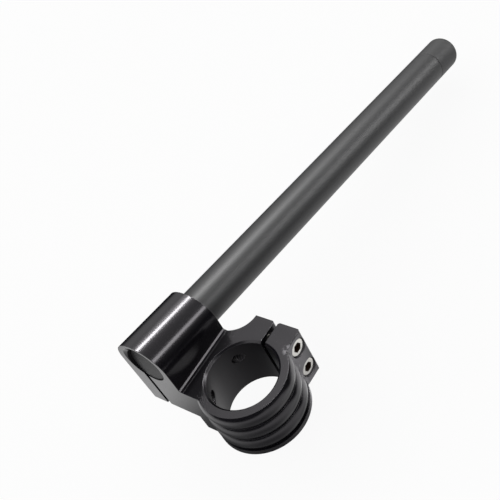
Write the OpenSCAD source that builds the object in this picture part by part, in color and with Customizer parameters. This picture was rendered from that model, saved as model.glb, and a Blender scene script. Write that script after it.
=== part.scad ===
// Clip-on handlebar for one side of a motorbike, in millimetres.
// A machined clamp grips the fork tube; a straight handlebar tube is held in its split sleeve.
// The origin is the centre of the fork bore, half way up the fork ring. +Z is the fork tube's axis,
// +X is the way the bar runs to its grip end, and +Y runs from the fork tube to the sleeve.

/* [Fork ring] */
// Diameter of the fork tube that the ring clamps
fork_d = 38; // [34:0.5:44]
// Wall of the ring at its top edge
ring_wall = 5.2; // [4.5:0.1:8]
// Height of the ring along the fork tube
ring_h = 33; // [31:0.5:44]
// Lead-in chamfer at both ends of the fork bore
bore_chamfer = 1.2; // [0.5:0.1:2]

/* [Ribs on the ring] */
// Number of rounded ribs above the bottom land
rib_count = 3; // [1:1:4]
// Height of the plain land below the last rib
rib_land = 4; // [2:0.5:8]
// How far a rib's crown stands out past its edges
rib_crown = 1.3; // [0.3:0.1:1.8]
// Depth of the narrow groove between two ribs
groove_depth = 0.5; // [0.3:0.1:1.2]
// Width of the narrow groove between two ribs
groove_w = 0.8; // [0.4:0.1:1.5]

/* [Pinch ears] */
// Distance from the fork axis to the end of the ears
ear_end = 32.8; // [32:0.1:38]
// Width of the ear that holds the screw heads, from the middle of the slot to its flank
head_ear = 14.4; // [12:0.1:16]
// Width of the threaded ear at its end, from the middle of the slot
thread_ear = 13.2; // [12:0.1:16]
// Width of the slot between the ears
ear_slot = 2.6; // [1:0.1:4]
// Chamfer on the upright edges of the ears, all but the hollow's
ear_chamfer = 0.9; // [0.2:0.1:1.2]
// Distance from the fork axis to the fork screws
fork_screw_x = 27; // [26.6:0.1:27.2]
// Distance of each fork screw from the nearer end of the ring
fork_screw_edge = 8; // [7:0.1:9]

/* [Body block] */
// Front face, ahead of the fork axis
block_front = 20.5; // [19:0.5:26]
// Back face, behind the fork axis
block_back = 19.5; // [18.5:0.5:22]
// Height of the block's level underside over the middle of the ring
block_floor = -5.8; // [-8:0.2:-4.5]
// Distance from the fork axis to the step under the web
step_y = 23.8; // [20:0.2:24.5]
// Radius of the hollow that runs from the back face to the end of the threaded ear
hollow_r = 14; // [13:0.5:20]
// Width of the milled root between the sleeve's side and the top of the web
web_root = 2.2; // [1:0.1:4]

/* [Handlebar and sleeve] */
// Outside diameter of the handlebar tube
tube_d = 22.2; // [22:0.1:22.8]
// Wall of the handlebar tube
tube_wall = 3.1; // [2:0.1:4]
// Length of the tube past the fork axis, up to the plug's shoulder
tube_reach = 272.8; // [200:1:330]
// How far the tube's inner end sits inside the sleeve's front face
tube_inset = 1; // [0.5:0.1:3]
// Thickness of the closed inner end of the tube
tube_end_wall = 4; // [2:0.5:8]
// Angle at which the bar drops away from square to the fork tube
droop = 10; // [4:0.5:11]
// Distance between the fork axis and the bar's axis
bar_offset = 40.5; // [39.5:0.5:44]
// Height of the bar's axis over the middle of the ring
bar_rise = 28.2; // [28:0.2:31]
// Outside radius of the sleeve
sleeve_r = 15.5; // [15:0.1:16]
// Sideways shift of the sleeve's outside toward the jaw
sleeve_shift = 0.5; // [0:0.1:0.8]
// Running gap around the tube in the sleeve's bore
sleeve_gap = 0.05; // [0:0.01:0.15]
// Chamfer at the front mouth of the sleeve's bore; the back one has half of it
sleeve_chamfer = 0.3; // [0.2:0.1:1.2]
// Width of the slot that splits the jaw from the body
jaw_slot = 2.5; // [1:0.1:3]
// Distance of the jaw's slot from the bar's axis
jaw_slot_y = 5; // [4:0.5:6]
// Distance of each bar screw from the middle of the block's length
bar_screw_x = 11.9; // [10:0.1:13]
// Height of the bar screws over the middle of the ring
bar_screw_z = 6.4; // [4:0.2:7]

/* [Screws] */
// Thread diameter of all four socket head screws
screw_d = 6; // [5:1:6]
// Diameter of the screw heads
head_d = 10; // [9.6:0.1:10]
// Height of the screw heads
head_h = 6; // [5:0.5:6]
// Width across the flats of the hex socket
hex_w = 5; // [4:0.5:5]
// Depth of the hex socket
hex_depth = 3; // [2:0.5:3.5]
// Length of a fork screw under its head
fork_screw_len = 20; // [16:1:20]
// Length of a bar screw under its head
bar_screw_len = 30; // [25:1:33]
// Play around a head in its counterbore, on the radius
counterbore_gap = 0.4; // [0.1:0.05:0.4]
// How far a fork screw's head lies below the ear's flank
fork_head_inset = 0.9; // [0:0.1:1.5]
// How far a bar screw's head lies below the jaw's face
bar_head_inset = 1; // [0:0.1:1.5]

/* [Bar end] */
// Length of the plug's head past its shoulder
plug_len = 24.5; // [15:0.5:40]
// Rounding on the outer end of the plug
plug_round = 4.5; // [1:0.5:7]
// Length of the plug's stem inside the tube
stem_len = 22; // [10:1:40]
// Broken edge on each side of the seam between the tube and the plug
seam_edge = 0.3; // [0.1:0.05:0.6]

/* [Hidden] */
$fn = 96;
black = [0.09, 0.09, 0.1];
satin = [0.13, 0.13, 0.14];
steel = [0.75, 0.75, 0.73];
fork_r = fork_d / 2;
ring_r = fork_r + ring_wall;
half_h = ring_h / 2;
fork_screw_z = half_h - fork_screw_edge;
rib_h = (ring_h - rib_land) / rib_count;
// Radius of a rib's rounded face, from its height and its crown
rib_face_r = (rib_h * rib_h / 4 + rib_crown * rib_crown) / (2 * rib_crown);
tube_r = tube_d / 2;
sleeve_bore_r = tube_r + sleeve_gap;
sleeve_near = bar_offset + sleeve_shift - sleeve_r;
jaw_face = bar_offset + sleeve_shift + sleeve_r;
block_mid = (block_back - block_front) / 2;
clear_r = screw_d / 2 + 0.3;
thread_r = screw_d / 2;
counterbore_r = head_d / 2 + counterbore_gap;
fork_head_seat = -head_ear + fork_head_inset + head_h;
bar_head_seat = jaw_face - bar_head_inset - head_h;
far = 200;

// Places its children on the bar's axis, with +X along the bar toward the grip end
module on_bar() {
    translate([0, bar_offset, bar_rise])
        rotate([0, droop, 0])
            children();
}

// A cylinder along X that starts at x
module rod_x(x, length, r) {
    translate([x, 0, 0])
        rotate([0, 90, 0])
            cylinder(h = length, r = r);
}

// A cylinder along Y that starts at y
module rod_y(y, length, r) {
    translate([0, y, 0])
        rotate([-90, 0, 0])
            cylinder(h = length, r = r);
}

// A cone along X that starts at x, for the chamfers at the sleeve's mouths
module cone_x(x, length, r1, r2) {
    translate([x, 0, 0])
        rotate([0, 90, 0])
            cylinder(h = length, r1 = r1, r2 = r2);
}

// Half section of the ribbed ring, before the fork bore is cut
module ring_section() {
    difference() {
        union() {
            for (i = [0 : rib_count - 1])
                intersection() {
                    translate([ring_r + rib_crown - rib_face_r, half_h - rib_h * (i + 0.5)])
                        circle(r = rib_face_r, $fn = 180);
                    translate([fork_r - 2, half_h - rib_h * (i + 1)])
                        square([ring_wall + 6, rib_h]);
                }
            translate([fork_r - 2, -half_h])
                square([ring_wall + 2 + rib_crown, rib_land]);
        }
        for (i = [1 : rib_count])
            translate([ring_r - groove_depth + groove_w / 2, half_h - rib_h * i])
                rib_groove();
        // small chamfer on the bottom land's edge
        translate([ring_r + rib_crown, -half_h])
            rotate(45)
                square([1.2, 1.2], center = true);
    }
}

// One narrow groove: a round bottom that opens outward
module rib_groove() {
    circle(d = groove_w, $fn = 24);
    translate([0, -groove_w / 2])
        square([groove_depth + rib_crown + 2, groove_w]);
}

// The ring that goes round the fork tube, still solid inside
module ring_blank() {
    rotate_extrude($fn = 180)
        ring_section();
    translate([0, 0, -half_h])
        cylinder(h = ring_h, r = fork_r - 1);
}

// Outline of the ears and the web, seen along the fork tube
module web_outline() {
    translate([fork_r - 4, -head_ear])
        square([ear_end - fork_r + 4, head_ear + thread_ear]);
    translate([-block_front, 0])
        square([block_front + block_back, step_y]);
    difference() {
        translate([block_back - 1, 0])
            square([ear_end - block_back + 1, step_y]);
        translate([ear_end, thread_ear + hollow_r])
            intersection() {
                circle(r = hollow_r, $fn = 180);
                translate([block_back - ear_end, -hollow_r])
                    square([far, hollow_r * 2]);
            }
    }
}

// Cutters for the chamfered upright edges of the ears
module ear_edges() {
    for (y = [-head_ear, -ear_slot / 2, ear_slot / 2])
        translate([ear_end, y, 0])
            rotate(45)
                cube([ear_chamfer * 1.414, ear_chamfer * 1.414, ring_h + 2], center = true);
}

// Section of the milled root: a small lip, a shallow floor and one bright slope up to the sleeve's side
module root_section() {
    scale(web_root)
        polygon([
            [-1, 0], [-0.94, 0.068], [-0.32, 0.11], [0, 0.47],
            [0.3, 0.47], [0.3, -0.3], [-1, -0.3]
        ]);
}

// The upright block with the round top that holds the bar, before its bore and its slot are cut
module sleeve_blank() {
    intersection() {
        translate([-block_front, step_y - 1, block_floor])
            cube([block_front + block_back, far, far]);
        union() {
            on_bar() {
                translate([0, sleeve_shift, 0])
                    rod_x(-far / 2, far, sleeve_r);
                translate([-far / 2, sleeve_shift - sleeve_r, -far / 2])
                    cube([far, sleeve_r * 2, far / 2]);
            }
            // the web under the sleeve, up to the top of the ring
            translate([-far / 2, 0, -far / 2])
                cube([far, sleeve_near + 1, far / 2 + half_h]);
            translate([-far / 2, sleeve_near, half_h])
                rotate([90, 0, 90])
                    linear_extrude(far)
                        root_section();
        }
    }
}

// The whole clamp: ring, ears, web, sleeve and jaw are cut from one billet
module clamp_body() {
    color(black)
        difference() {
            union() {
                ring_blank();
                translate([0, 0, -half_h])
                    linear_extrude(ring_h)
                        web_outline();
                sleeve_blank();
            }
            fork_bore();
            ear_cuts();
            sleeve_cuts();
        }
}

// Bore for the fork tube with its two chamfers
module fork_bore() {
    cylinder(h = ring_h + 2, r = fork_r, center = true, $fn = 180);
    for (side = [-1, 1])
        scale([1, 1, side])
            translate([0, 0, half_h - bore_chamfer])
                cylinder(h = bore_chamfer * 2, r1 = fork_r, r2 = fork_r + bore_chamfer * 2, $fn = 180);
}

// Slot, chamfers and screw holes in the two ears
module ear_cuts() {
    translate([0, -ear_slot / 2, -half_h - 1])
        cube([ear_end + 1, ear_slot, ring_h + 2]);
    ear_edges();
    for (z = [-fork_screw_z, fork_screw_z])
        translate([fork_screw_x, 0, z]) {
            rod_y(-head_ear - 1, fork_head_seat + head_ear + 1, counterbore_r);
            rod_y(-head_ear, head_ear, clear_r);
            rod_y(-0.5, step_y + 1, thread_r);
        }
}

// Bore for the bar, its mouths, the slot of the jaw and the bar screws' holes
module sleeve_cuts() {
    front = -block_front / cos(droop);
    back = block_back / cos(droop);
    // the chamfers at the mouths are cut square to the bar, like its bore
    on_bar() {
        rod_x(-far / 2, far, sleeve_bore_r);
        cone_x(front - 4, 4 + sleeve_chamfer, sleeve_bore_r + sleeve_chamfer + 4, sleeve_bore_r);
        cone_x(back - sleeve_chamfer / 2, 4 + sleeve_chamfer / 2, sleeve_bore_r, sleeve_bore_r + sleeve_chamfer / 2 + 4);
    }
    translate([-far / 2, bar_offset + jaw_slot_y - jaw_slot / 2, block_floor - 1])
        cube([far, jaw_slot, bar_rise - block_floor - 4]);
    for (x = [-bar_screw_x, bar_screw_x])
        translate([block_mid + x, 0, bar_screw_z]) {
            rod_y(bar_head_seat, far, counterbore_r);
            rod_y(bar_offset + jaw_slot_y, far, clear_r);
            rod_y(fork_r / 2, far / 4, thread_r);
        }
}

// The straight handlebar tube, drilled from its grip end and closed at its inner end
module handlebar_tube() {
    inner_end = -block_front / cos(droop) + tube_inset;
    color(satin)
        on_bar()
            difference() {
                rod_x(inner_end, tube_reach - inner_end, tube_r);
                rod_x(inner_end + tube_end_wall, far * 2, tube_r - tube_wall);
                // broken edges round both ends
                difference() {
                    rod_x(inner_end - 1, 1.5, tube_r + 1);
                    cone_x(inner_end - 1, 1.5, tube_r - 1.5, tube_r);
                }
                difference() {
                    rod_x(tube_reach - seam_edge, 1 + seam_edge, tube_r + 1);
                    cone_x(tube_reach - seam_edge, 1 + seam_edge, tube_r, tube_r - 1 - seam_edge);
                }
            }
}

// Outline of half of the plug: stem, shoulder and rounded outer end
module plug_section() {
    stem_r = tube_r - tube_wall - 0.05;
    top = stem_len + plug_len;
    polygon([
        [0, 0], [stem_r, 0], [stem_r, stem_len], [tube_r - seam_edge, stem_len],
        [tube_r, stem_len + seam_edge], [tube_r, top - plug_round], [tube_r - plug_round, top], [0, top]
    ]);
    intersection() {
        translate([tube_r - plug_round, stem_len + plug_len - plug_round])
            circle(r = plug_round, $fn = 64);
        translate([0, stem_len])
            square([tube_r, plug_len]);
    }
}

// The plug that closes the grip end, the same diameter as the tube
module bar_end_plug() {
    color(satin)
        on_bar()
            translate([tube_reach - stem_len, 0, 0])
                rotate([0, 90, 0])
                    rotate_extrude()
                        plug_section();
}

// A socket head screw along Y: the head starts at y = 0 and the shank runs toward +Y
module socket_screw(length) {
    color(steel)
        difference() {
            union() {
                rod_y(0.5, head_h - 0.5, head_d / 2);
                rotate([-90, 0, 0])
                    cylinder(h = 0.5, r1 = head_d / 2 - 0.5, r2 = head_d / 2);
                rod_y(head_h - 0.01, length + 0.01 - 0.6, thread_r);
                translate([0, head_h + length - 0.6, 0])
                    rotate([-90, 0, 0])
                        cylinder(h = 0.6, r1 = thread_r, r2 = thread_r - 0.6);
            }
            translate([0, -1, 0])
                rotate([-90, 30, 0])
                    cylinder(h = hex_depth + 1, d = hex_w / cos(30), $fn = 6);
        }
}

// A fork screw, turned from the right ear into the threads of the left one
module fork_screw(z) {
    translate([fork_screw_x, -head_ear + fork_head_inset, z])
        socket_screw(fork_screw_len);
}

// A bar screw, turned from the jaw's face toward the fork bore
module bar_screw(x) {
    translate([block_mid + x, jaw_face - bar_head_inset, bar_screw_z])
        rotate([0, 0, 180])
            socket_screw(bar_screw_len);
}

module fork_screw_upper() {
    fork_screw(fork_screw_z);
}

module fork_screw_lower() {
    fork_screw(-fork_screw_z);
}

module bar_screw_front() {
    bar_screw(-bar_screw_x);
}

module bar_screw_back() {
    bar_screw(bar_screw_x);
}

clamp_body();
handlebar_tube();
bar_end_plug();
fork_screw_upper();
fork_screw_lower();
bar_screw_front();
bar_screw_back();
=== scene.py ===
"""Looks of the clip-on handlebar: its pieces, their finishes, the light and the camera, in metres."""

from math import cos, pi, radians, sin

import bmesh
import bpy
from mathutils import Matrix, Vector


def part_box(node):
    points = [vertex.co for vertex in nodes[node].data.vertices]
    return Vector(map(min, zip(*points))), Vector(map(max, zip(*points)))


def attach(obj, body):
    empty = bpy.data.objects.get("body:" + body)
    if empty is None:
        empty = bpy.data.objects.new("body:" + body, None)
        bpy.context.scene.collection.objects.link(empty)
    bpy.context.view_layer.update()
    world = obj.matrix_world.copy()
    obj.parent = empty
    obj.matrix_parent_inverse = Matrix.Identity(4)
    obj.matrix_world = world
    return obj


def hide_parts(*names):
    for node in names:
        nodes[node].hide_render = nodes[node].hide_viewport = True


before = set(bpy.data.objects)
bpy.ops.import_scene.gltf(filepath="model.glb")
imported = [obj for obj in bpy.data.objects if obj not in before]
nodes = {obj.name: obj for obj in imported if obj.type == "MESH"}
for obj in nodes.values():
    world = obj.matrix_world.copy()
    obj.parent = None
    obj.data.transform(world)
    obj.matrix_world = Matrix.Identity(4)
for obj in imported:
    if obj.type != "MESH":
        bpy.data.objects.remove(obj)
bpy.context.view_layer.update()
scene = bpy.context.scene
MM = 0.001

# Clamp body: one aluminium billet, turned and milled, then anodised black.
# Its flat faces keep fine milling lines along the bar, the ribbed ring keeps
# turning lines round the fork tube, and every edge has a small broken corner.
fork_bore_radius = 19 * MM
fork_axis_to_sleeve = 23.8 * MM
groove_radius = 23.9 * MM
crest_radius = 24.9 * MM
ring_top = 16 * MM
rib_end_x = 20.6 * MM
rib_end_y = -15.6 * MM
bar_radius = 11.1 * MM
bar_droop = radians(10)
bar_centre = Vector((0, 40.5 * MM, 28.2 * MM))
thread_radius = 3 * MM
thread_pitch = 1 * MM
edge_break = 0.3 * MM
dye_dark = (0.0042, 0.004, 0.0052, 1)
dye_cloudy = (0.0065, 0.006, 0.0082, 1)
dye_on_edges = (0.04, 0.038, 0.044, 1)
bare_aluminium_and_highlight = (0.33, 0.32, 0.34, 1)
# near black for the bar bore: painted shade in the recess
bar_bore_painted_shade = (0.004, 0.004, 0.005, 1)
dye_sheen = (0.99, 0.955, 1, 1)
bare_on_crests = 0.35
# The next two are painted highlights by the ribs' ends: pale specks and a paler patch on the ribs.
painted_highlight_specks = 0.8
painted_highlight_on_ribs = 0.5
turned_stretch = 0.0012
milled_stretch = 0.03


def feed(tree, socket, given):
    """Gives a socket a plain value, or the value of another socket."""
    if isinstance(given, bpy.types.NodeSocket):
        tree.links.new(given, socket)
    else:
        socket.default_value = given


def value_node(tree, operation, *given):
    """A Math node; each input is a socket or a plain number."""
    node = tree.nodes.new("ShaderNodeMath")
    node.operation = operation
    for socket, value in zip(node.inputs, given):
        feed(tree, socket, value)
    return node.outputs[0]


def times(tree, first, second):
    return value_node(tree, "MULTIPLY", first, second)


def plus(tree, first, second):
    return value_node(tree, "ADD", first, second)


def larger(tree, first, second):
    return value_node(tree, "MAXIMUM", first, second)


def distance_of(tree, a, b):
    """Length of the hypotenuse over two sockets."""
    return value_node(tree, "POWER", plus(tree, times(tree, a, a), times(tree, b, b)), 0.5)


def step_mask(tree, given, low, high):
    """0 below low, 1 above high, smooth between them; high may also be the lower one."""
    node = tree.nodes.new("ShaderNodeMapRange")
    node.interpolation_type = "SMOOTHSTEP"
    node.inputs["From Min"].default_value = low
    node.inputs["From Max"].default_value = high
    tree.links.new(given, node.inputs["Value"])
    return node.outputs["Result"]


def to_range(tree, given, low, high):
    """Spreads a mask of 0 to 1 over low to high."""
    node = tree.nodes.new("ShaderNodeMapRange")
    node.inputs["To Min"].default_value = low
    node.inputs["To Max"].default_value = high
    tree.links.new(given, node.inputs["Value"])
    return node.outputs["Result"]


def vector_of(tree, *given):
    """A vector from three sockets or numbers."""
    node = tree.nodes.new("ShaderNodeCombineXYZ")
    for socket, value in zip(node.inputs, given):
        feed(tree, socket, value)
    return node.outputs[0]


def parts_of(tree, vector):
    """The three numbers of a vector."""
    node = tree.nodes.new("ShaderNodeSeparateXYZ")
    tree.links.new(vector, node.inputs[0])
    return node.outputs


def noise_of(tree, vector, scale, detail=2.0, roughness=0.5):
    """Noise between 0 and 1 on the given coordinates."""
    node = tree.nodes.new("ShaderNodeTexNoise")
    node.inputs["Scale"].default_value = scale
    node.inputs["Detail"].default_value = detail
    node.inputs["Roughness"].default_value = roughness
    tree.links.new(vector, node.inputs["Vector"])
    return node.outputs["Fac"]


def mix_of(tree, kind, mask, first, second):
    """From first to second with the mask; kind is RGBA for colours and VECTOR for coordinates."""
    node = tree.nodes.new("ShaderNodeMix")
    node.data_type = kind
    tree.links.new(mask, node.inputs["Factor"])
    for name, given in (("A", first), ("B", second)):
        feed(tree, next(s for s in node.inputs if s.name == name and s.type == kind), given)
    return next(s for s in node.outputs if s.type == kind)


def new_group(name, inputs, outputs):
    """An empty node group; inputs are (name, socket type, default) rows, outputs (name, socket type)."""
    group = bpy.data.node_groups.new(name, "ShaderNodeTree")
    for label, kind, default in inputs:
        socket = group.interface.new_socket(label, in_out="INPUT", socket_type=kind)
        if default is not None:
            socket.default_value = default
    for label, kind in outputs:
        group.interface.new_socket(label, in_out="OUTPUT", socket_type=kind)
    return group, group.nodes.new("NodeGroupInput"), group.nodes.new("NodeGroupOutput")


def tool_marks_group():
    """Fine lines that a cutter leaves: long along one direction, very close across it."""
    group, given, out = new_group(
        "tool_marks",
        (("Vector", "NodeSocketVector", None), ("Fineness", "NodeSocketFloat", 900.0)),
        (("Lines", "NodeSocketFloat"), ("Streaks", "NodeSocketFloat")),
    )
    fine = group.nodes.new("ShaderNodeVectorMath")
    fine.operation = "SCALE"
    group.links.new(given.outputs["Vector"], fine.inputs[0])
    group.links.new(given.outputs["Fineness"], fine.inputs["Scale"])
    group.links.new(noise_of(group, fine.outputs[0], 1.0, 3.0, 0.6), out.inputs["Lines"])
    group.links.new(noise_of(group, given.outputs["Vector"], 90.0, 2.0), out.inputs["Streaks"])
    return group


def handling_group():
    """Faint clouding and small specks from handling."""
    group, given, out = new_group(
        "handling",
        (("Vector", "NodeSocketVector", None),),
        (("Clouds", "NodeSocketFloat"), ("Specks", "NodeSocketFloat")),
    )
    vector = given.outputs["Vector"]
    group.links.new(noise_of(group, vector, 45.0, 4.0, 0.6), out.inputs["Clouds"])
    specks = group.nodes.new("ShaderNodeTexVoronoi")
    specks.inputs["Scale"].default_value = 420.0
    specks.inputs["Randomness"].default_value = 1.0
    group.links.new(vector, specks.inputs["Vector"])
    group.links.new(step_mask(group, specks.outputs["Distance"], 0.1, 0.04), out.inputs["Specks"])
    return group


def plain_normal(tree):
    return tree.nodes.new("ShaderNodeNewGeometry").outputs["Normal"]


def broken_edges_group():
    """Edges as if they were broken by a small radius: their normal, and a mask that is 1 on them."""
    group, given, out = new_group(
        "broken_edges",
        (("Radius", "NodeSocketFloat", edge_break),),
        (("Normal", "NodeSocketVector"), ("Edges", "NodeSocketFloat")),
    )
    bevel = group.nodes.new("ShaderNodeBevel")
    bevel.samples = 6
    group.links.new(given.outputs["Radius"], bevel.inputs["Radius"])
    turn = group.nodes.new("ShaderNodeVectorMath")
    turn.operation = "DOT_PRODUCT"
    group.links.new(bevel.outputs[0], turn.inputs[0])
    group.links.new(plain_normal(group), turn.inputs[1])
    group.links.new(bevel.outputs[0], out.inputs["Normal"])
    group.links.new(step_mask(group, turn.outputs["Value"], 0.985, 0.86), out.inputs["Edges"])
    return group


tool_marks = tool_marks_group()
handling = handling_group()
broken_edges = broken_edges_group()


def place_group(tree, group, **given):
    """Puts a shared effect in a material, with its inputs by name, and hands over its outputs."""
    node = tree.nodes.new("ShaderNodeGroup")
    node.node_tree = group
    for name, value in given.items():
        feed(tree, node.inputs[name], value)
    return node.outputs


def new_material(name):
    """A plain material; hands over the material, its tree, its shader and Object coordinates."""
    material = bpy.data.materials.new(name)
    material.use_nodes = True
    tree = material.node_tree
    place = tree.nodes.new("ShaderNodeTexCoord").outputs["Object"]
    return material, tree, tree.nodes["Principled BSDF"], place


def bumps(tree, normal, *layers):
    """Stacks Bump nodes on a normal; each layer is (height socket, strength, distance)."""
    for height, strength, distance in layers:
        node = tree.nodes.new("ShaderNodeBump")
        node.inputs["Strength"].default_value = strength
        node.inputs["Distance"].default_value = distance
        tree.links.new(height, node.inputs["Height"])
        tree.links.new(normal, node.inputs["Normal"])
        normal = node.outputs[0]
    return normal


def bar_coordinates(tree, place):
    """Distance along the bar from over the fork axis, and the two distances across it."""
    turned = tree.nodes.new("ShaderNodeMapping")
    turned.vector_type = "TEXTURE"
    turned.inputs["Location"].default_value = bar_centre
    turned.inputs["Rotation"].default_value = (0, bar_droop, 0)
    tree.links.new(place, turned.inputs["Vector"])
    return parts_of(tree, turned.outputs[0])


def in_bar_screw_holes(tree, x, y, z):
    """1 on the walls of the two threaded holes that open in the fork bore."""
    inside = None
    for node in ("bar_screw_front", "bar_screw_back"):
        low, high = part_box(node)
        off_x = plus(tree, x, -(low[0] + high[0]) / 2)
        off_z = plus(tree, z, -(low[2] + high[2]) / 2)
        from_axis = distance_of(tree, off_x, off_z)
        hole = step_mask(tree, from_axis, thread_radius + 0.12 * MM, thread_radius + 0.06 * MM)
        inside = hole if inside is None else larger(tree, inside, hole)
    return times(tree, inside, step_mask(tree, y, 5 * MM, 6 * MM))


def bare_threads_and_painted_highlights(tree, place, in_threads, thread_turns, radius):
    """How much aluminium shows: on thread crests, and as painted highlights by the ribs' ends, pale specks and
    a paler patch on the ribs there.
    """
    x, y, z = parts_of(tree, place)
    crests = times(tree, in_threads, step_mask(tree, thread_turns, 0.3, 0.8))
    from_rib_ends = distance_of(tree, plus(tree, x, -rib_end_x), plus(tree, y, -rib_end_y))
    near_rib_ends = step_mask(tree, from_rib_ends, 4.4 * MM, 1.6 * MM)
    # painted highlight: pale specks near the ribs' ends
    highlight_specks = times(tree, near_rib_ends, step_mask(tree, noise_of(tree, place, 330.0, 3.0), 0.46, 0.58))
    on_ribs = step_mask(tree, radius, groove_radius, crest_radius)
    # painted highlight: the ribs paler near their ends, below the ring's top
    rib_highlight = times(tree, step_mask(tree, from_rib_ends, 17 * MM, 3 * MM), on_ribs)
    rib_highlight = times(tree, rib_highlight, step_mask(tree, z, ring_top, ring_top - 1 * MM))
    threads_or_highlight_specks = larger(tree, times(tree, crests, bare_on_crests), times(tree, highlight_specks, painted_highlight_specks))
    return larger(tree, threads_or_highlight_specks, times(tree, rib_highlight, painted_highlight_on_ribs))


def anodised_clamp():
    """Black dye, milled and turned: paler on edges, duller in the bores, with painted shade in the bar bore,
    aluminium showing on thread crests, and painted highlights by the ribs' ends.
    """
    material, tree, shader, place = new_material("clamp_black")
    x, y, z = parts_of(tree, place)
    radius = distance_of(tree, x, y)
    _, across, height = bar_coordinates(tree, place)
    in_fork_bore = step_mask(tree, radius, fork_bore_radius + 0.4 * MM, fork_bore_radius + 0.1 * MM)
    from_bar_axis = distance_of(tree, across, height)
    in_bar_bore = step_mask(tree, from_bar_axis, bar_radius + 0.3 * MM, bar_radius + 0.1 * MM)
    in_threads = in_bar_screw_holes(tree, x, y, z)
    thread_turns = value_node(tree, "SINE", times(tree, y, 2 * pi / thread_pitch))
    bare_or_highlit = bare_threads_and_painted_highlights(tree, place, in_threads, thread_turns, radius)

    # lines run round the fork on the ring and along the bar on the block
    round_fork = vector_of(tree, times(tree, value_node(tree, "ARCTAN2", y, x), turned_stretch), radius, z)
    along_bar = vector_of(tree, times(tree, x, milled_stretch), y, z)
    on_block = step_mask(tree, y, fork_axis_to_sleeve - 1 * MM, fork_axis_to_sleeve + 1 * MM)
    cut_along = mix_of(tree, "VECTOR", on_block, round_fork, along_bar)
    marks = place_group(tree, tool_marks, Vector=cut_along, Fineness=2600.0)
    touch = place_group(tree, handling, Vector=place)
    broken = place_group(tree, broken_edges, Radius=edge_break)

    dyed = mix_of(tree, "RGBA", touch["Clouds"], dye_dark, dye_cloudy)
    worn = mix_of(tree, "RGBA", times(tree, broken["Edges"], 0.35), dyed, dye_on_edges)
    # aluminium colour on the thread crests, and as painted highlights by the ribs' ends
    coloured_with_highlights = mix_of(tree, "RGBA", bare_or_highlit, worn, bare_aluminium_and_highlight)
    # painted shade: the bar bore is coloured near black
    tree.links.new(mix_of(tree, "RGBA", in_bar_bore, coloured_with_highlights, bar_bore_painted_shade), shader.inputs["Base Color"])
    gloss = to_range(tree, marks["Streaks"], 0.15, 0.24)
    for where, duller in ((touch["Specks"], 0.12), (in_fork_bore, 0.18), (in_bar_bore, 0.5)):
        gloss = plus(tree, gloss, times(tree, where, duller))
    tree.links.new(gloss, shader.inputs["Roughness"])
    shader.inputs["Specular Tint"].default_value = dye_sheen
    tree.links.new(bumps(
        tree, broken["Normal"],
        (marks["Lines"], 0.1, 0.02 * MM),
        (touch["Clouds"], 0.12, 0.05 * MM),
        (times(tree, thread_turns, in_threads), 1.0, 0.25 * MM),
    ), shader.inputs["Normal"])
    return material


nodes["clamp_body"].data.materials.clear()
nodes["clamp_body"].data.materials.append(anodised_clamp())

# Handlebar tube: drawn aluminium, bead blasted and anodised satin black.
# It is pushed into the clamp's sleeve from the grip side and pinched there.
# The grip end is open for the plug, and a disc closes the end in the sleeve's mouth.
inner_end = -18.5 * MM
grip_end = 272.8 * MM
hollow_radius = 8 * MM
end_wall = 4 * MM
round_steps = 144
weld = 0.001 * MM
tube_dye = (0.02, 0.02, 0.021, 1)
satin_on_edges = (0.09, 0.09, 0.095, 1)
drawn_stretch = 0.04


def satin_tube(name, dye, roughness):
    """Blasted grain and drawn lines under a satin dye, clouded by handling and paler on edges."""
    material, tree, shader, place = new_material(name)
    along, across, height = bar_coordinates(tree, place)
    drawn = vector_of(tree, times(tree, along, drawn_stretch), across, height)
    marks = place_group(tree, tool_marks, Vector=drawn, Fineness=1800.0)
    touch = place_group(tree, handling, Vector=place)
    broken = place_group(tree, broken_edges, Radius=edge_break)
    grain = noise_of(tree, place, 5200.0, 2.0)
    cloudy = tuple(v * 1.35 for v in dye[:3]) + (1,)
    dyed = mix_of(tree, "RGBA", touch["Clouds"], dye, cloudy)
    worn = mix_of(tree, "RGBA", times(tree, broken["Edges"], 0.6), dyed, satin_on_edges)
    tree.links.new(worn, shader.inputs["Base Color"])
    gloss = to_range(tree, marks["Streaks"], roughness - 0.03, roughness + 0.04)
    tree.links.new(gloss, shader.inputs["Roughness"])
    tree.links.new(bumps(
        tree, broken["Normal"],
        (grain, 0.12, 0.02 * MM),
        (marks["Lines"], 0.06, 0.02 * MM),
    ), shader.inputs["Normal"])
    return material


def finished_mesh(name, bm, place):
    """Puts a bmesh in its place and makes its mesh."""
    bmesh.ops.transform(bm, matrix=place, verts=bm.verts)
    mesh = bpy.data.meshes.new(name)
    bm.to_mesh(mesh)
    bm.free()
    return mesh


def stand_in(name, mesh, node):
    """The object of a new piece, which stands for a CAD node and rides on the one body."""
    piece = bpy.data.objects.new(name, mesh)
    scene.collection.objects.link(piece)
    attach(piece, "root")
    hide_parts(node)


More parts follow.
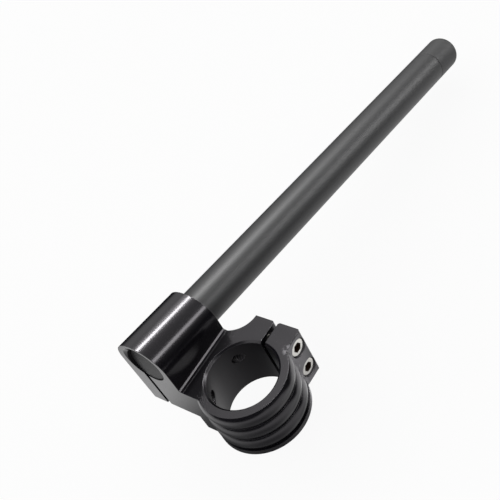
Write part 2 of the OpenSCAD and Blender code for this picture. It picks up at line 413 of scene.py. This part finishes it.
def tube_mesh(name):
    """Half its section spun round the bar's axis."""
    outline = (
        (inner_end, 0), (inner_end, bar_radius - edge_break), (inner_end + edge_break, bar_radius),
        (grip_end - edge_break, bar_radius), (grip_end, bar_radius - edge_break),
        (grip_end, hollow_radius), (inner_end + end_wall, hollow_radius), (inner_end + end_wall, 0),
    )
    bm = bmesh.new()
    corners = [bm.verts.new((along, 0, away)) for along, away in outline]
    lines = [bm.edges.new(pair) for pair in zip(corners, corners[1:])]
    bmesh.ops.spin(
        bm, geom=corners + lines, cent=(0, 0, 0), axis=(1, 0, 0), dvec=(0, 0, 0),
        angle=radians(360), steps=round_steps, use_merge=True, use_duplicate=False,
    )
    bmesh.ops.remove_doubles(bm, verts=bm.verts, dist=weld)
    bmesh.ops.recalc_face_normals(bm, faces=bm.faces)
    for face in bm.faces:
        face.smooth = True
    for edge in bm.edges:
        edge.smooth = edge.calc_face_angle(0) < radians(30)
    return finished_mesh(name, bm, Matrix.Translation(bar_centre) @ Matrix.Rotation(bar_droop, 4, "Y"))


tube_body = tube_mesh("handlebar_tube_body")
tube_body.materials.append(satin_tube("tube_black", tube_dye, 0.46))
stand_in("handlebar_tube_body", tube_body, "handlebar_tube")

# Bar end plug: turned aluminium, blasted a little duller than the tube and anodised.
# It is pressed into the tube's grip end by its stem.
plug_dye = (0.022, 0.022, 0.023, 1)

nodes["bar_end_plug"].data.materials.clear()
nodes["bar_end_plug"].data.materials.append(satin_tube("plug_black", plug_dye, 0.56))

# Socket head screws: bright stainless steel, M6, with a hex socket coloured near black as painted shade.
# Two pinch the ears on the fork tube and two pinch the jaw on the bar.
head_radius = 5 * MM
head_height = 6 * MM
crown = 0.7 * MM
hex_radius = 2.89 * MM
hex_depth = 3 * MM
hex_chamfer = 0.15 * MM
socket_rim_radius = hex_radius + 0.25 * MM
thread_depth = 0.55 * MM
ring_steps = 72
steel_grey = (0.66, 0.64, 0.6, 1)
steel_bright = (0.8, 0.79, 0.76, 1)
socket_shade_black = (0.012, 0.006, 0.004, 1)
socket_shade_brown = (0.05, 0.028, 0.018, 1)


def ring_on(bm, edges, radius_now, radius_next, down):
    """Carries a ring of edges down and out to a new radius; hands over its new edges and faces."""
    made = bmesh.ops.extrude_edge_only(bm, edges=edges)["geom"]
    verts = [g for g in made if isinstance(g, bmesh.types.BMVert)]
    faces = [g for g in made if isinstance(g, bmesh.types.BMFace)]
    grow = radius_next / radius_now
    bmesh.ops.scale(bm, vec=(grow, grow, 1), verts=verts)
    bmesh.ops.translate(bm, vec=(0, 0, -down), verts=verts)
    found = set(verts)
    loop = [g for g in made if isinstance(g, bmesh.types.BMEdge) and all(v in found for v in g.verts)]
    return loop, faces


def edges_round(verts):
    return list({edge for v in verts for edge in v.link_edges})


def screw_mesh(name, length, place):
    """The head's top is at the origin and the shank runs down; place turns it onto its hole."""
    bm = bmesh.new()
    hexagon = bmesh.ops.create_circle(bm, segments=6, radius=hex_radius)["verts"]
    bmesh.ops.subdivide_edges(bm, edges=edges_round(hexagon), cuts=ring_steps // 6 - 1)
    socket_loop = list(bm.edges)
    rim = edges_round(bmesh.ops.create_circle(bm, segments=ring_steps, radius=socket_rim_radius)["verts"])
    bmesh.ops.bridge_loops(bm, edges=socket_loop + rim)

    # hex socket: its chamfer, its sides, and the drill's cone at the bottom
    socket_faces = []
    for narrower, down in ((0.97, hex_chamfer), (1, hex_depth - hex_chamfer), (0.02, 0.6 * MM)):
        socket_loop, faces = ring_on(bm, socket_loop, 1, narrower, down)
        socket_faces += faces
    socket_faces += bmesh.ops.contextual_create(bm, geom=socket_loop)["faces"]

    # outside of the head: crown, knurled side, washer face and the shank's start
    side_height = head_height - 0.6 * MM - crown
    outline = (
        (head_radius - crown, 0.0), (head_radius - 0.3 * MM, 0.1 * MM), (head_radius, crown),
        (head_radius, side_height), (head_radius - 0.25 * MM, 0.5 * MM),
        (thread_radius + 0.15 * MM, 0.0), (thread_radius, 0.3 * MM),
    )
    loop, radius = rim, socket_rim_radius
    for wide, down in outline:
        loop, faces = ring_on(bm, loop, radius, wide, down)
        radius = wide
        if down == side_height:
            knurled = faces

    # thread, one ring down to its root and back to its crest for each turn, then the point
    drop = sum(down for _, down in outline)
    turns = int((length + head_height - drop - 1.2 * MM) / thread_pitch)
    for _ in range(turns):
        for wide, down in ((thread_radius - thread_depth, 0.45), (thread_radius, 0.45), (thread_radius, 0.1)):
            loop, faces = ring_on(bm, loop, radius, wide, down * thread_pitch)
            radius = wide
        drop += thread_pitch
    loop, faces = ring_on(bm, loop, radius, thread_radius - 0.7 * MM, length + head_height - drop)
    bmesh.ops.contextual_create(bm, geom=loop)

    bmesh.ops.inset_individual(bm, faces=knurled, thickness=0.07 * MM, depth=-0.1 * MM)
    for face in socket_faces:
        if face.is_valid:
            face.material_index = 1
    bmesh.ops.remove_doubles(bm, verts=bm.verts, dist=weld)
    bmesh.ops.recalc_face_normals(bm, faces=bm.faces)
    return finished_mesh(name, bm, place)


def bright_steel():
    """Bright steel with fine grain, clouded by handling."""
    material, tree, shader, place = new_material("screw_steel")
    clouds = place_group(tree, handling, Vector=place)["Clouds"]
    broken = place_group(tree, broken_edges, Radius=edge_break / 2)
    grain = noise_of(tree, place, 2600.0, 3.0)
    tree.links.new(mix_of(tree, "RGBA", clouds, steel_grey, steel_bright), shader.inputs["Base Color"])
    shader.inputs["Metallic"].default_value = 1
    tree.links.new(to_range(tree, clouds, 0.16, 0.32), shader.inputs["Roughness"])
    tree.links.new(bumps(tree, broken["Normal"], (grain, 0.1, 0.02 * MM)), shader.inputs["Normal"])
    return material


def painted_socket_shade():
    """Painted shade in the hex socket: blotchy, near black to dark brown."""
    material, tree, shader, place = new_material("screw_socket_painted_shade")
    socket_blotches = noise_of(tree, place, 900.0, 3.0)
    tree.links.new(mix_of(tree, "RGBA", socket_blotches, socket_shade_black, socket_shade_brown), shader.inputs["Base Color"])
    tree.links.new(to_range(tree, socket_blotches, 0.25, 0.5), shader.inputs["Roughness"])
    tree.links.new(bumps(tree, plain_normal(tree), (socket_blotches, 0.3, 0.05 * MM)), shader.inputs["Normal"])
    return material


screw_steel = bright_steel()
screw_socket_shade = painted_socket_shade()


def fit_screw(node, towards):
    """Makes the piece for one CAD screw; its shank points to +Y where towards is 1, to -Y where it is -1."""
    low, high = (Vector(v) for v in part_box(node))
    middle = (low + high) / 2
    top = low.y if towards > 0 else high.y
    turn = Matrix.Rotation(radians(90) * towards, 4, "X") @ Matrix.Rotation(radians(30), 4, "Z")
    place = Matrix.Translation((middle.x, top, middle.z)) @ turn
    mesh = screw_mesh(node + "_detail", high.y - low.y - head_height, place)
    mesh.materials.append(screw_steel)
    mesh.materials.append(screw_socket_shade)
    stand_in(node + "_detail", mesh, node)


fit_screw("fork_screw_upper", 1)
fit_screw("fork_screw_lower", 1)
fit_screw("bar_screw_front", -1)
fit_screw("bar_screw_back", -1)

# White paper floor under the bar. Reflections see a painted map on it instead of the lit paper:
# pale beside the bar, a painted shadow grey round the ring's foot and painted dark further out, which gives the
# black faces their depth.
floor_level = -0.045
floor_reach = 3.0
horizon_start = 0.5
horizon_end = 1.3
painted_pale_by_clamp = ((-0.15, 0.06), (-0.3, 0.15), 0.03)
painted_pale_by_tube = ((0.04, 0.42), (-0.085, 0.085), 0.05)
painted_shadow_core = 0.012
# painted shadows on the reflected floor, darkest round the ring's foot
painted_shadows = (
    # x, y, reach, darkest
    (-0.04, -0.03, 0.092, 0.2),
    (-0.025, 0.03, 0.066, 0.1),
    (0.03, -0.037, 0.03, 0.6),
)
white = (1, 1, 1, 1)
painted_dark_floor = (0.02, 0.02, 0.022, 1)
paper_white = (0.9, 0.9, 0.9, 1)


def stage_plane(name, bm):
    """The object of a plane that belongs to the stage."""
    mesh = bpy.data.meshes.new(name)
    bm.to_mesh(mesh)
    bm.free()
    plane = bpy.data.objects.new(name, mesh)
    scene.collection.objects.link(plane)
    return plane


def soft_box(tree, x, y, x_range, y_range, softness):
    """1 inside a rectangle on the floor, falling to 0 over softness at its edges."""
    sides = []
    for given, (low, high) in ((x, x_range), (y, y_range)):
        rise = step_mask(tree, given, low - softness / 2, low + softness / 2)
        fall = step_mask(tree, given, high + softness / 2, high - softness / 2)
        sides.append(times(tree, rise, fall))
    return times(tree, *sides)


def blend_shaders(tree, factor, first, second):
    """A Mix Shader node between two shader outputs."""
    node = tree.nodes.new("ShaderNodeMixShader")
    for socket, given in zip(node.inputs, (factor, first, second)):
        tree.links.new(given, socket)
    return node.outputs[0]


def paper_floor():
    """White to the camera, with the object's shadow; reflections see a painted map instead: pale, a painted
    shadow grey round the ring's foot, and dark further out.
    """
    material, tree, shader, place = new_material("floor_white")
    tree.nodes.remove(shader)
    x, y, _ = parts_of(tree, place)
    pale = larger(tree, soft_box(tree, x, y, *painted_pale_by_clamp), soft_box(tree, x, y, *painted_pale_by_tube))
    for shade_x, shade_y, reach, darkest in painted_shadows:
        away = distance_of(tree, plus(tree, x, -shade_x), plus(tree, y, -shade_y))
        pale = times(tree, pale, to_range(tree, step_mask(tree, away, painted_shadow_core, reach), darkest, 1.0))
    # reflections see the painted map as glow; the camera sees plain white
    painted_reflection = mix_of(tree, "RGBA", pale, painted_dark_floor, white)
    ray = tree.nodes.new("ShaderNodeLightPath").outputs
    mirrored = larger(tree, ray["Is Glossy Ray"], ray["Is Transmission Ray"])
    glow = tree.nodes.new("ShaderNodeEmission")
    tree.links.new(mix_of(tree, "RGBA", ray["Is Camera Ray"], painted_reflection, white), glow.inputs["Color"])
    paper = tree.nodes.new("ShaderNodeBsdfDiffuse")
    paper.inputs["Color"].default_value = paper_white
    # far from the object nothing but the glow shows, so the floor has no horizon
    far_off = step_mask(tree, distance_of(tree, x, y), horizon_start, horizon_end)
    far_off = to_range(tree, far_off, 0.9, 1.0)
    glowing = larger(tree, times(tree, ray["Is Camera Ray"], far_off), mirrored)
    lit = blend_shaders(tree, glowing, paper.outputs[0], glow.outputs[0])
    # from below the floor is clear, so the underside can be looked at
    clear = tree.nodes.new("ShaderNodeBsdfTransparent").outputs[0]
    from_below = tree.nodes.new("ShaderNodeNewGeometry").outputs["Backfacing"]
    surface = blend_shaders(tree, from_below, lit, clear)
    tree.links.new(surface, tree.nodes["Material Output"].inputs["Surface"])
    return material


floor_bm = bmesh.new()
bmesh.ops.create_grid(floor_bm, x_segments=1, y_segments=1, size=floor_reach)
bmesh.ops.translate(floor_bm, vec=(0, 0, floor_level), verts=floor_bm.verts)
floor = stage_plane("floor", floor_bm)
floor.data.materials.append(paper_floor())

# Tall dark card on the camera's side, seen in reflections alone: a painted dark reflection.
# It darkens the far edge of the fork bore.
card_width = 2.28
card_height = 1.05
card_foot = Vector((-0.4, -0.69, floor_level))
card_turn = radians(-30)
card_reflection_grey = (0.08, 0.08, 0.085, 1)

card_bm = bmesh.new()
corners = bmesh.ops.create_grid(card_bm, x_segments=1, y_segments=1, size=0.5)["verts"]
bmesh.ops.scale(card_bm, vec=(card_width, card_height, 1), verts=corners)
bmesh.ops.translate(card_bm, vec=(0, card_height / 2, 0), verts=corners)
upright = Matrix.Rotation(card_turn, 4, "Z") @ Matrix.Rotation(radians(90), 4, "X")
bmesh.ops.transform(card_bm, matrix=Matrix.Translation(card_foot) @ upright, verts=corners)
upright_card = stage_plane("upright_card", card_bm)
upright_card.visible_camera = False
upright_card.visible_diffuse = False
upright_card.visible_transmission = False
upright_card.visible_shadow = False
card_dark_reflection, _, card_dark_reflection_shader, _ = new_material("upright_card_dark_reflection")
card_dark_reflection_shader.inputs["Base Color"].default_value = card_reflection_grey
card_dark_reflection_shader.inputs["Roughness"].default_value = 1
card_dark_reflection_shader.inputs["Specular IOR Level"].default_value = 0
upright_card.data.materials.append(card_dark_reflection)

# Soft white room, brighter behind the bar than on the fork side, and darker low down.
# Beyond the grip it is lighter low down than elsewhere, and dimmer straight off the bar's end.
room_lean = (-0.35, 0.45, 0.0)
room_middle = 0.95
room_top = 0.52
low_level = 0.2
low_level_by_grip = 0.75
level_off_the_end = 0.6

world = bpy.data.worlds.new("white_room")
scene.world = world
world.use_nodes = True
room = world.node_tree
toward = room.nodes.new("ShaderNodeTexCoord").outputs["Generated"]
lean = room.nodes.new("ShaderNodeVectorMath")
lean.operation = "DOT_PRODUCT"
lean.inputs[1].default_value = room_lean
room.links.new(toward, lean.inputs[0])
toward_grip, _, upward = parts_of(room, toward)
rise = room.nodes.new("ShaderNodeMapRange")
rise.inputs["From Max"].default_value = room_top
by_grip = step_mask(room, toward_grip, 0.5, 0.9)
room.links.new(to_range(room, by_grip, low_level, low_level_by_grip), rise.inputs["To Min"])
room.links.new(upward, rise.inputs["Value"])
room_level = times(room, plus(room, lean.outputs["Value"], room_middle), rise.outputs["Result"])
off_the_end = step_mask(room, toward_grip, 0.74, 0.94)
room_level = times(room, room_level, to_range(room, off_the_end, 1.0, level_off_the_end))
to_camera = room.nodes.new("ShaderNodeLightPath").outputs["Is Camera Ray"]
room.links.new(larger(room, room_level, to_camera), room.nodes["Background"].inputs["Strength"])
room.nodes["Background"].inputs["Color"].default_value = white

# Lamps: long soft boxes 1 m off the bar that show as the bright lines on the tube,
# the sleeve and the ribs. Each lies between two places over the bar's axis.
bar_axis = Vector((cos(bar_droop), 0, -sin(bar_droop)))
over_bar = Vector((sin(bar_droop), 0, cos(bar_droop)))
fork_side = Vector((0, -1, 0))


def above_bar(along, side_angle):
    """A point 1 m off the bar's axis, side_angle degrees from straight above it toward the fork side."""
    outward = over_bar * cos(radians(side_angle)) + fork_side * sin(radians(side_angle))
    return bar_centre + bar_axis * along + outward


def set_square(x_axis, y_axis, z_axis, place):
    """The matrix that stands an object on three directions at a place."""
    turn = Matrix((x_axis, y_axis, z_axis)).transposed().to_4x4()
    return Matrix.Translation(place) @ turn


def strip_light(name, start, end, width, radiance):
    """An oval soft box from start to end, each (distance along the bar, side angle); only gloss shows it."""
    near = above_bar(*start)
    far = above_bar(*end)
    length = (far - near).length
    lamp = bpy.data.objects.new(name, bpy.data.lights.new(name, "AREA"))
    scene.collection.objects.link(lamp)
    lamp.data.shape = "ELLIPSE"
    lamp.data.size = length
    lamp.data.size_y = width
    oval_area = pi / 4 * length * width
    lamp.data.energy = radiance * pi * oval_area
    long_way = (far - near).normalized()
    centre = (near + far) / 2
    outward = centre - bar_centre - bar_axis * ((start[0] + end[0]) / 2)
    outward = (outward - long_way * outward.dot(long_way)).normalized()
    lamp.matrix_world = set_square(long_way, outward.cross(long_way), outward, centre)
    lamp.visible_diffuse = False


strip_light("strip_over_bar", (0.0, -17), (0.87, -6), 0.14, 40)
strip_light("strip_over_tube", (0.62, 2), (1.0, 8), 0.3, 3.2)
strip_light("strip_over_bar_glow", (0.38, -27), (0.85, -20), 0.4, 1.7)
strip_light("strip_fork_side_clamp", (-0.1, 59), (0.8, 59), 0.2, 7)
strip_light("strip_fork_side_tube", (0.72, 46), (2.0, 56), 0.4, 8.5)

# Camera at the photograph's viewing angle, placed from the object's outlines.
# Its directions and place are in the CAD's frame, as everything else is.
picture_side_pixels = 500
focal_length_pixels = 833.9
film_width = 36
camera_right = Vector((0.53052, -0.7678, -0.35922))
camera_up = Vector((0.73598, 0.20695, 0.64459))
camera_place = Vector((-0.122997, -0.23504, 0.325608))

camera = bpy.data.objects.new("camera", bpy.data.cameras.new("camera"))
scene.collection.objects.link(camera)
camera.data.sensor_width = film_width
camera.data.lens = focal_length_pixels / picture_side_pixels * film_width
camera.matrix_world = set_square(camera_right, camera_up, camera_right.cross(camera_up), camera_place)
scene.camera = camera
scene.view_settings.view_transform = "Standard"
